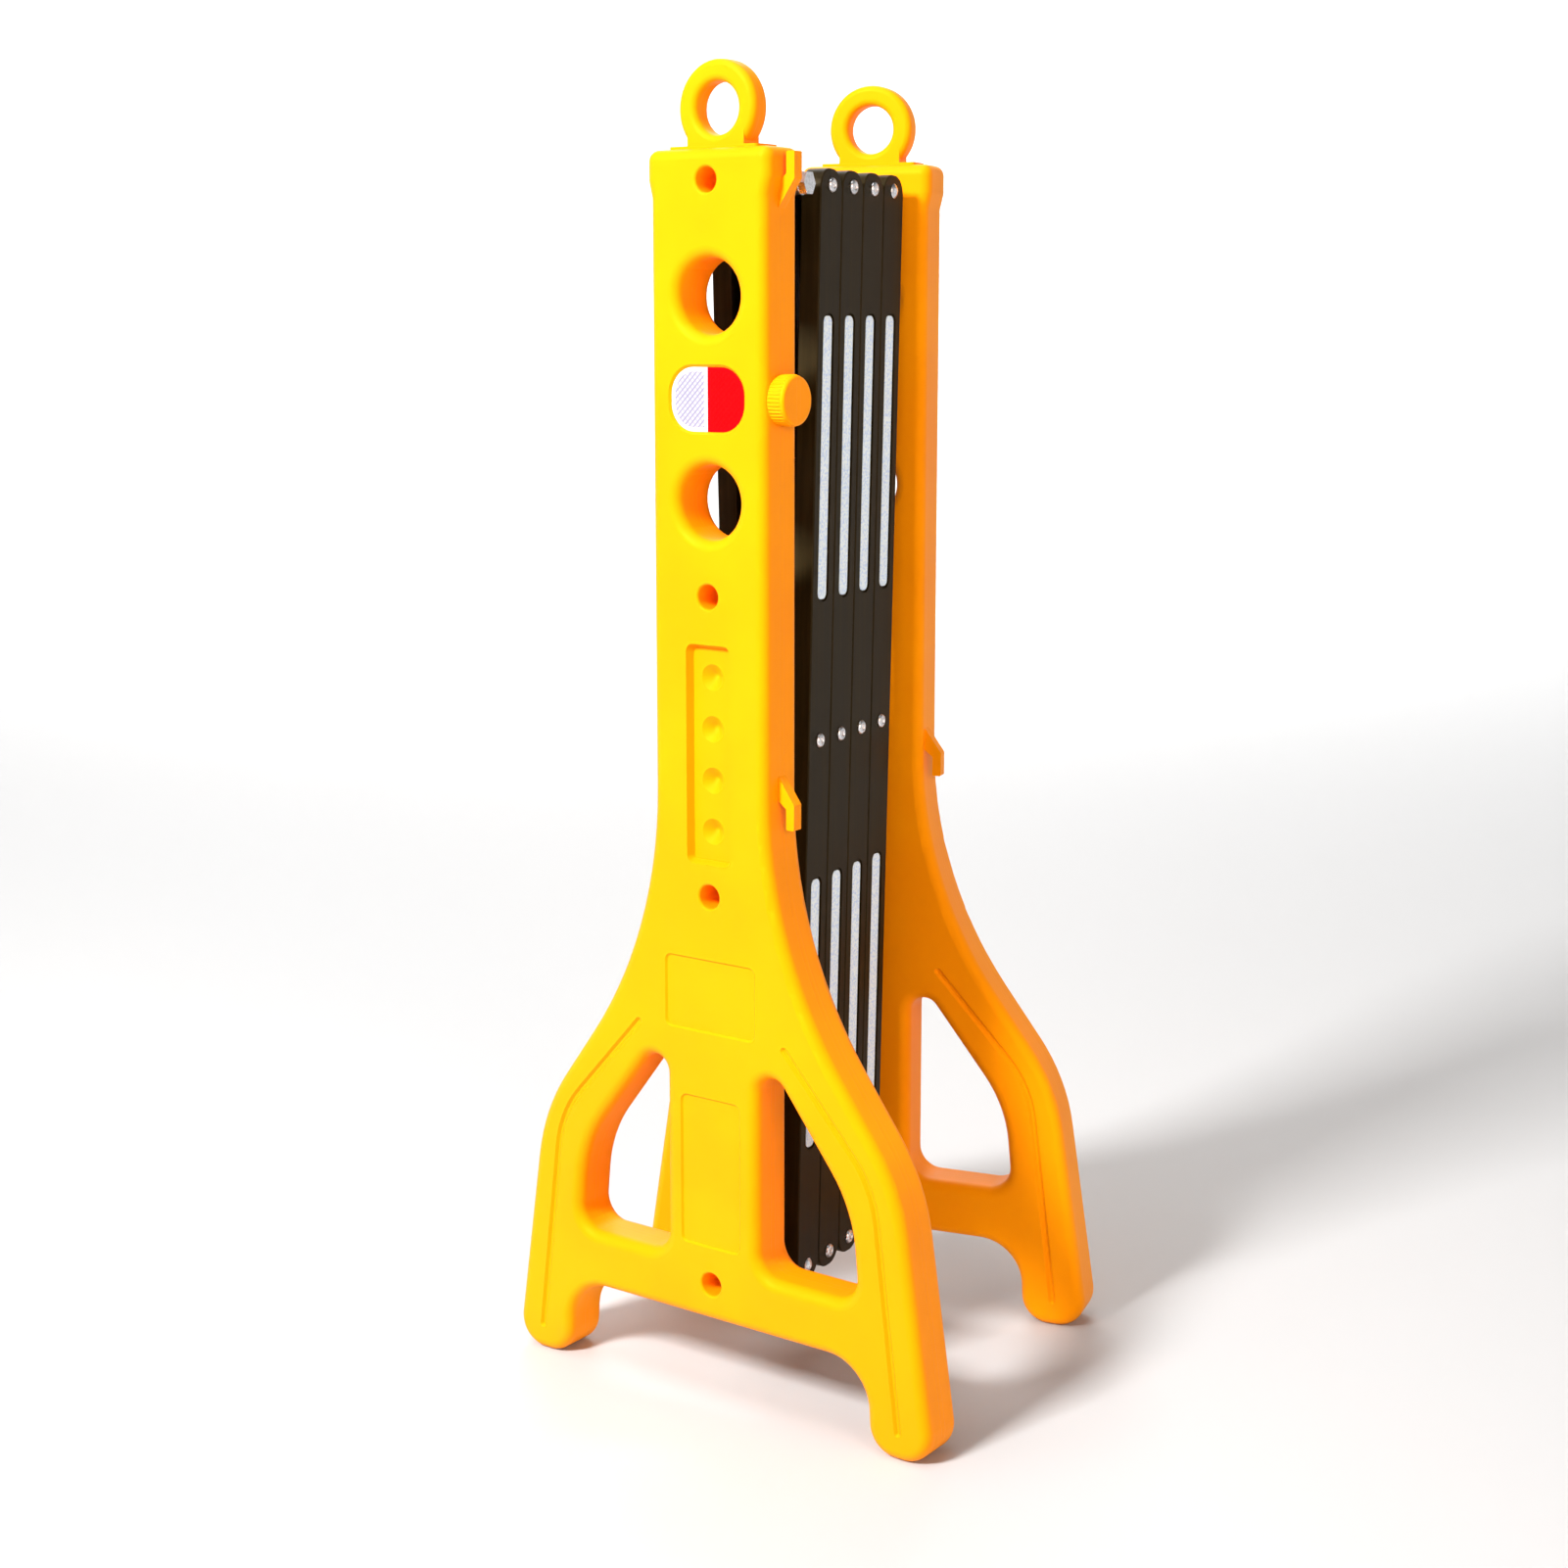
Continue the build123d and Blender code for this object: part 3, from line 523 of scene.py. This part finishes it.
@dataclass(frozen=True)
class PatchSheet:
    """Reflective sheet of one half of a post's patch: a crossed hatch inside a plain margin."""

    margin_colour: Colour
    field_colour: Colour
    line_colour: Colour
    gloss_tint: Colour = (1.0, 1.0, 1.0, 1.0)
    middle_z: float = 0.762
    half_width: float = 0.0325
    half_height: float = 0.023
    corner: float = 0.020
    margin: float = 0.0030
    edge_ease: float = 0.0003
    pitch: float = 0.0032
    line_range: Pair = (0.10, 0.30)
    falling_share: float = 0.6
    net_share: float = 0.75
    net_relief: Pair = (0.0002, 0.35)
    cloud_scale: float = 80.0
    cloud_share: float = 0.25
    roughness: float = 0.32
    cloud_roughness: float = 0.12
    gloss: float = 0.12

    def make(self, name: str, stand: Stand) -> bpy.types.Material:
        """Makes the sheet for one end.

        Args:
            name: The material's name.
            stand: Where the end stands and how it is turned.

        Returns:
            The material.
        """
        graph = ShaderGraph(name)
        local = graph.place(stand.axis, stand.turn)
        _, across, height = graph.split(local)
        up = height - self.middle_z
        rising = self.hatch_line(across + up)
        falling = self.hatch_line(across - up)
        net = rising.larger(falling * self.falling_share)
        plain = self.plain_margin(across, up)
        cloud = graph.noise(local, self.cloud_scale)
        shade = net * self.net_share + cloud * self.cloud_share
        colour = graph.mix(shade, self.field_colour, self.line_colour)
        colour = graph.mix(plain, colour, self.margin_colour)
        relief = graph.bump(net * (1.0 - plain), *self.net_relief)
        rough = self.roughness + cloud * self.cloud_roughness
        return graph.finish(
            Base_Color=colour,
            Roughness=rough,
            Normal=relief,
            Specular_IOR_Level=self.gloss,
            Specular_Tint=self.gloss_tint,
        )

    def hatch_line(self, along: Signal) -> Signal:
        """Lines a pitch apart on a slant: 1 on a line and 0 between two."""
        place = (along / (self.pitch * math.sqrt(2.0))).fraction() - 0.5
        return 1.0 - place.absolute().smooth(*self.line_range)

    def plain_margin(self, across: Signal, up: Signal) -> Signal:
        """Margin round the patch and along the line where its halves meet.

        Args:
            across: Distance across the post from the patch's middle.
            up: Height above the patch's middle.

        Returns:
            A signal that is 1 on the margin and 0 inside it.
        """
        ease = self.edge_ease
        out = (across.absolute() - (self.half_width - self.corner)).larger(0.0)
        over = (up.absolute() - (self.half_height - self.corner)).larger(0.0)
        reach = (out * out + over * over).math("SQRT")
        inside = self.corner - self.margin
        edge = reach.smooth(inside - ease, inside + ease)
        seam = 1.0 - across.absolute().smooth(self.margin - ease, self.margin + ease)
        return edge.larger(seam)


@dataclass(frozen=True)
class BrightSteel:
    """Bright plated steel of the rivets, bolts, sleeves and pins."""

    bright: Colour = (0.80, 0.80, 0.82, 1.0)
    dull: Colour = (0.52, 0.52, 0.53, 1.0)
    scratch_scales: Triple = (2600.0, 300.0, 2600.0)
    scratch_relief: Pair = (0.0001, 0.12)
    tarnish_scale: float = 220.0
    tarnish_range: Pair = (0.45, 0.75)
    roughness: float = 0.20
    tarnish_roughness: float = 0.18

    def make(self, name: str) -> bpy.types.Material:
        """Makes the steel.

        Args:
            name: The material's name.

        Returns:
            The material.
        """
        graph = ShaderGraph(name)
        spot = graph.place()
        scratches = graph.noise(graph.stretch(spot, self.scratch_scales), 1.0)
        tarnish = graph.noise(spot, self.tarnish_scale, detail=3.0)
        colour = graph.mix(tarnish.smooth(*self.tarnish_range), self.bright, self.dull)
        relief = graph.bump(scratches, *self.scratch_relief)
        rough = self.roughness + tarnish * self.tarnish_roughness
        return graph.finish(Base_Color=colour, Metallic=1.0, Roughness=rough, Normal=relief)


@dataclass(frozen=True)
class PaleFloor:
    """Plain matt paint of the studio floor, which the lamps make pale."""

    paint: Colour = (0.50, 0.50, 0.50, 1.0)
    roughness: float = 0.75

    def make(self, name: str) -> bpy.types.Material:
        """Makes the paint.

        Args:
            name: The material's name.

        Returns:
            The material.
        """
        return ShaderGraph(name).finish(Base_Color=self.paint, Roughness=self.roughness)


def dress(node: str, material: bpy.types.Material) -> None:
    """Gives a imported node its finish.

    Args:
        node: The node's name.
        material: The finish.
    """
    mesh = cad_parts[node].data
    mesh.materials.clear()
    mesh.materials.append(material)
    LOG.info("dressed %s with %s", node, material.name)


def add_piece(name: str, shape: bmesh.types.BMesh, material: bpy.types.Material) -> bpy.types.Object:
    """Turns a finished bmesh into an object at the origin.

    Args:
        name: The piece's name.
        shape: The mesh, which is freed.
        material: The piece's finish.

    Returns:
        The new object.
    """
    mesh = bpy.data.meshes.new(name)
    shape.to_mesh(mesh)
    shape.free()
    mesh.materials.append(material)
    mesh.shade_smooth()
    made = bpy.data.objects.new(name, mesh)
    bpy.context.scene.collection.objects.link(made)
    return made


@dataclass
class Finishes:
    """Every finish that both ends and the lattice share."""

    slat: bpy.types.Material = field(default_factory=lambda: SlatPlastic().make("slat_plastic"))
    steel: bpy.types.Material = field(default_factory=lambda: BrightSteel().make("bright_steel"))
    strip: bpy.types.Material = field(default_factory=lambda: StripSheet().make("strip_sheet"))


WHITE_PATCH = PatchSheet(
    margin_colour=(0.60, 0.59, 0.62, 1.0),
    field_colour=(0.47, 0.455, 0.52, 1.0),
    line_colour=(0.19, 0.175, 0.27, 1.0),
)
RED_PATCH = PatchSheet(
    margin_colour=(0.46, 0.001, 0.003, 1.0),
    field_colour=(0.46, 0.001, 0.003, 1.0),
    line_colour=(0.36, 0.001, 0.002, 1.0),
    gloss_tint=(1.0, 0.1, 0.1, 1.0),
)


@dataclass(frozen=True)
class KnobRibs:
    """Fine ribs round a knob's edge, placed in the axes of its end."""

    across: float = -0.031
    face: float = -0.0515
    height: float = 0.762
    count: int = 42
    valley: float = 0.0179
    crest: float = 0.0185
    start: float = 0.0003
    length: float = 0.0100
    slope: float = 0.0009

    def raise_top(
        self,
        shape: bmesh.types.BMesh,
        top: list[bmesh.types.BMFace],
        rise: float,
    ) -> list[bmesh.types.BMFace]:
        """Draws the top face of the ribs further out.

        Args:
            shape: The mesh so far.
            top: The face to draw out.
            rise: How far it goes.

        Returns:
            The new top face, in a list.
        """
        drawn = bmesh.ops.extrude_face_region(shape, geom=top)["geom"]
        verts = [part for part in drawn if isinstance(part, bmesh.types.BMVert)]
        bmesh.ops.translate(shape, verts=verts, vec=(0.0, 0.0, rise))
        return [part for part in drawn if isinstance(part, bmesh.types.BMFace)]

    def build(self, end: End, stand: Stand, material: bpy.types.Material) -> bpy.types.Object:
        """Makes the ribs of one end's knob.

        Args:
            end: The end that the knob belongs to.
            stand: Where the end stands and how it is turned.
            material: The knob's plastic.

        Returns:
            The piece, which rides on the post that the knob is pressed into.
        """
        shape = bmesh.new()
        profile = (self.valley, self.valley, self.crest, self.crest)
        steps = len(profile) * self.count
        circle = bmesh.ops.create_circle(shape, cap_ends=True, segments=steps, radius=1.0)
        for index, vert in enumerate(circle["verts"]):
            vert.co *= profile[index % len(profile)]
        bmesh.ops.translate(shape, verts=shape.verts, vec=(0.0, 0.0, self.start))
        top = self.raise_top(shape, list(shape.faces), self.length)
        top = self.raise_top(shape, top, self.slope)
        for vert in top[0].verts:
            vert.co.xy = vert.co.xy.normalized() * self.valley
        bmesh.ops.recalc_face_normals(shape, faces=shape.faces)
        seat = Matrix.Translation((self.across, self.face, self.height))
        lay = seat @ Matrix.Rotation(QUARTER_TURN, 4, "X")
        place = Matrix.Translation(stand.axis) @ Matrix.Rotation(stand.turn, 4, "Z")
        bmesh.ops.transform(shape, matrix=place @ lay, verts=shape.verts)
        ribs = add_piece(f"{end.value}_knob_ribs", shape, material)
        ribs.data.shade_flat()
        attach(ribs, f"{end.value}_post")
        LOG.info("built %s", ribs.name)
        return ribs


@dataclass
class EndPost:
    """One moulded end post with its eyelet, knob, patch and hinge hardware."""

    end: End
    finishes: Finishes
    swivel_x: float = 0.088
    swivel_y: float = -0.003778
    yaw: float = 7.0

    def stand(self) -> Stand:
        """Finds where this end's upright swivel axis stands, and the turn of its own axes.

        Returns:
            The foot of the axis and the turn.
        """
        if self.end is End.NEAR:
            return Stand((-self.swivel_x, self.swivel_y, 0.0), math.radians(-self.yaw))
        return Stand((self.swivel_x, self.swivel_y, 0.0), math.radians(180.0 + self.yaw))

    def dress(self) -> None:
        """Gives every node of the end its finish and builds the knob's ribs."""
        name = self.end.value
        stand = self.stand()
        yellow = YellowMoulding().make(f"{name}_yellow_moulding", stand)
        for piece in ("post", "eyelet", "knob"):
            dress(f"{name}_{piece}", yellow)
        KnobRibs().build(self.end, stand, yellow)
        dress(f"{name}_patch_white", WHITE_PATCH.make(f"{name}_white_sheet", stand))
        dress(f"{name}_patch_red", RED_PATCH.make(f"{name}_red_sheet", stand))
        for piece in ("brackets", "guide_plate"):
            dress(f"{name}_{piece}", self.finishes.slat)
        for piece in (
            "bracket_bolts",
            "hinge_pins",
            "top_bolt",
            "top_sleeve",
            "top_nut",
            "slider_pin",
            "slider_collar",
        ):
            dress(f"{name}_{piece}", self.finishes.steel)


@dataclass
class Lattice:
    """The scissor lattice: slats, reflective strips and the rivets that join them."""

    finishes: Finishes
    cells: int = 4
    pitch: float = 0.0345
    first_x: float = -0.064
    middle_y: float = -0.003778
    top_z: float = 0.916
    middle_z: float = 0.504361
    bottom_z: float = 0.092723
    face: float = 0.0370
    head_gap: float = 0.0003
    shank: float = 0.0040
    head: float = 0.0055
    head_height: float = 0.0024
    head_hollow: tuple[Pair, ...] = ((0.0, -0.45), (0.27, -0.40), (0.34, 0.50), (0.42, 0.90))
    head_crest: tuple[Pair, ...] = ((0.52, 1.0), (0.66, 0.97), (0.84, 0.78), (0.97, 0.36), (1.0, 0.0))
    turns: int = 32

    def rivet_points(self, cell: int) -> list[Pair]:
        """Places of the rivets that one front slat carries.

        Args:
            cell: The slat's number, from 1.

        Returns:
            Pairs of x and z.
        """
        middle = self.first_x + (cell - 0.5) * self.pitch
        points = [(middle, self.middle_z)]
        if cell > 1:
            points.append((middle - self.pitch / 2, self.bottom_z))
        if cell < self.cells:
            points.append((middle + self.pitch / 2, self.top_z))
        return points

    def rivet_profile(self) -> list[Pair]:
        """Works out the half section of a rivet from the shares of its dished head.

        Returns:
            Pairs of radius and place along the rivet's axis, from face to back.
        """
        rim, crown = self.head, self.head_height
        back = self.face + self.head_gap
        dish = self.head_hollow + self.head_crest
        front = [(r * rim, -self.face - h * crown) for r, h in dish]
        rear = [(r * rim, back + h * crown) for r, h in reversed(dish)]
        return front + [(self.shank, -self.face), (self.shank, back)] + rear

    def build_rivets(self, cell: int) -> bpy.types.Object:
        """Makes the formed rivets of one front slat, with a dish in the middle of each head.

        Args:
            cell: The slat's number, from 1.

        Returns:
            The piece, which rides on the slat and stands for its packed rivets.
        """
        shape = bmesh.new()
        for x, z in self.rivet_points(cell):
            centre = Vector((x, self.middle_y, z))
            verts = [shape.verts.new(centre + Vector((r, y, 0.0))) for r, y in self.rivet_profile()]
            edges = [shape.edges.new(pair) for pair in zip(verts, verts[1:])]
            bmesh.ops.spin(
                shape,
                geom=verts + edges,
                cent=centre,
                axis=(0.0, 1.0, 0.0),
                angle=math.tau,
                steps=self.turns,
                use_merge=True,
            )
        bmesh.ops.remove_doubles(shape, verts=shape.verts, dist=WELD)
        bmesh.ops.recalc_face_normals(shape, faces=shape.faces)
        rivets = add_piece(f"formed_rivets_{cell}", shape, self.finishes.steel)
        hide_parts(f"{Layer.FRONT.value}_rivets_{cell}")
        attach(rivets, f"{Layer.FRONT.value}_slat_{cell}")
        LOG.info("built %s", rivets.name)
        return rivets

    def dress(self) -> None:
        """Gives every slat and strip its finish and builds the rivets."""
        for cell in range(1, self.cells + 1):
            for layer in Layer:
                dress(f"{layer.value}_slat_{cell}", self.finishes.slat)
                dress(f"{layer.value}_strips_{cell}", self.finishes.strip)
            dress(f"{Layer.FRONT.value}_rivets_{cell}", self.finishes.steel)
            self.build_rivets(cell)


@dataclass(frozen=True)
class SoftLight:
    """One soft studio lamp."""

    name: str
    place: Triple
    aim: Triple
    watts: float
    size: float
    tint: Triple = (1.0, 1.0, 1.0)
    spread: float = 180.0

    def build(self) -> bpy.types.Object:
        """Makes the lamp and turns it to its aim.

        Returns:
            The lamp.
        """
        data = bpy.data.lights.new(self.name, "AREA")
        data.energy = self.watts
        data.size = self.size
        data.color = self.tint
        data.spread = math.radians(self.spread)
        lamp = bpy.data.objects.new(self.name, data)
        lamp.location = self.place
        way = Vector(self.aim) - Vector(self.place)
        lamp.rotation_euler = way.to_track_quat("-Z", "Y").to_euler()
        bpy.context.scene.collection.objects.link(lamp)
        return lamp


PART_LAMPS = (
    SoftLight("key_lamp", (-2.9, 0.9, 2.7), (-0.1, 0.0, 0.35), watts=282.0, size=0.7),
    SoftLight(
        "fill_lamp",
        (-2.1, -2.9, 1.7),
        (0.05, 0.0, 0.85),
        watts=11.5,
        size=1.8,
        tint=(1.0, 0.69, 0.51),
        spread=70.0,
    ),
    SoftLight("top_lamp", (-0.6, 0.2, 4.2), (0.0, 0.0, 0.5), watts=60.0, size=2.0),
)


@dataclass
class Studio:
    """Floor, lamps, sky and camera."""

    floor_radius: float = 6.0
    wall_radius: float = 9.0
    wall_height: float = 7.0
    wall_curve: float = 2.5
    curve_steps: int = 12
    floor_turns: int = 96
    sky_tint: Colour = (1.0, 1.0, 1.0, 1.0)
    sky_strength: float = 0.15
    wall_lamp_place: Triple = (4.6, 2.6, 5.2)
    wall_lamp_aim: Triple = (7.0, 4.0, 0.4)
    wall_lamp_size: float = 3.0
    wall_lamp_watts: tuple[float, ...] = (680.0, 190.0, 190.0, 190.0)
    wall_lamp_spreads: tuple[float, ...] = (180.0, 130.0, 130.0, 130.0)
    eye: Triple = (-1.661, -0.892, 0.822)
    heading: float = 28.65
    pitch: float = -9.43
    focal_share: float = 2500.0 / 1601.0
    sensor: float = 36.0
    drop: float = -0.04

    def build_floor(self) -> bpy.types.Object:
        """Makes a round floor that curves up into a far wall.

        Returns:
            The floor.
        """
        shape = bmesh.new()
        profile = [
            (0.0, 0.0),
            (self.floor_radius, 0.0),
            (self.wall_radius, 0.0),
            (self.wall_radius, self.wall_height),
        ]
        verts = [shape.verts.new((r, 0.0, z)) for r, z in profile]
        for pair in zip(verts, verts[1:]):
            shape.edges.new(pair)
        wall_foot = verts[2]
        bmesh.ops.bevel(
            shape,
            geom=[wall_foot],
            offset=self.wall_curve,
            affect="VERTICES",
            segments=self.curve_steps,
            profile=0.5,
            material=-1,
        )
        bmesh.ops.spin(
            shape,
            geom=shape.verts[:] + shape.edges[:],
            cent=(0.0, 0.0, 0.0),
            axis=(0.0, 0.0, 1.0),
            angle=math.tau,
            steps=self.floor_turns,
            use_merge=True,
        )
        bmesh.ops.remove_doubles(shape, verts=shape.verts, dist=WELD)
        bmesh.ops.recalc_face_normals(shape, faces=shape.faces)
        floor = add_piece("studio_floor", shape, PaleFloor().make("pale_floor"))
        return floor

    def build_sky(self) -> None:
        """Gives the world an even white light."""
        world = bpy.data.worlds.new("studio_sky")
        world.use_nodes = True
        background = world.node_tree.nodes["Background"]
        background.inputs["Color"].default_value = self.sky_tint
        background.inputs["Strength"].default_value = self.sky_strength
        bpy.context.scene.world = world

    def build_lamps(self) -> None:
        """Makes the lamps on the barrier and four that light the wall all round."""
        for lamp in PART_LAMPS:
            lamp.build()
        for quarter, watts in enumerate(self.wall_lamp_watts):
            turn = Matrix.Rotation(quarter * QUARTER_TURN, 3, "Z")
            SoftLight(
                f"backdrop_lamp_{quarter}",
                tuple(turn @ Vector(self.wall_lamp_place)),
                tuple(turn @ Vector(self.wall_lamp_aim)),
                watts,
                self.wall_lamp_size,
                spread=self.wall_lamp_spreads[quarter],
            ).build()

    def build_camera(self) -> bpy.types.Object:
        """Makes the camera at the photograph's viewing angle.

        Returns:
            The camera.
        """
        data = bpy.data.cameras.new("photo_camera")
        data.sensor_width = self.sensor
        data.lens = self.focal_share * self.sensor
        data.shift_y = self.drop
        camera = bpy.data.objects.new("photo_camera", data)
        heading, pitch = math.radians(self.heading), math.radians(self.pitch)
        flat = math.cos(pitch)
        aim = Vector((flat * math.cos(heading), flat * math.sin(heading), math.sin(pitch)))
        camera.matrix_world = Matrix.LocRotScale(Vector(self.eye), aim.to_track_quat("-Z", "Y"), None)
        bpy.context.scene.collection.objects.link(camera)
        bpy.context.scene.camera = camera
        return camera

    def build(self) -> None:
        """Makes the whole studio and sets plain colour handling."""
        bpy.context.scene.view_settings.view_transform = "Standard"
        self.build_camera()
        self.build_floor()
        self.build_sky()
        self.build_lamps()


def main() -> None:
    """Builds the studio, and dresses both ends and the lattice."""
    logging.basicConfig(level=logging.INFO)
    Studio().build()
    finishes = Finishes()
    for end in End:
        EndPost(end, finishes).dress()
    Lattice(finishes).dress()


if __name__ == "__main__":
    main()
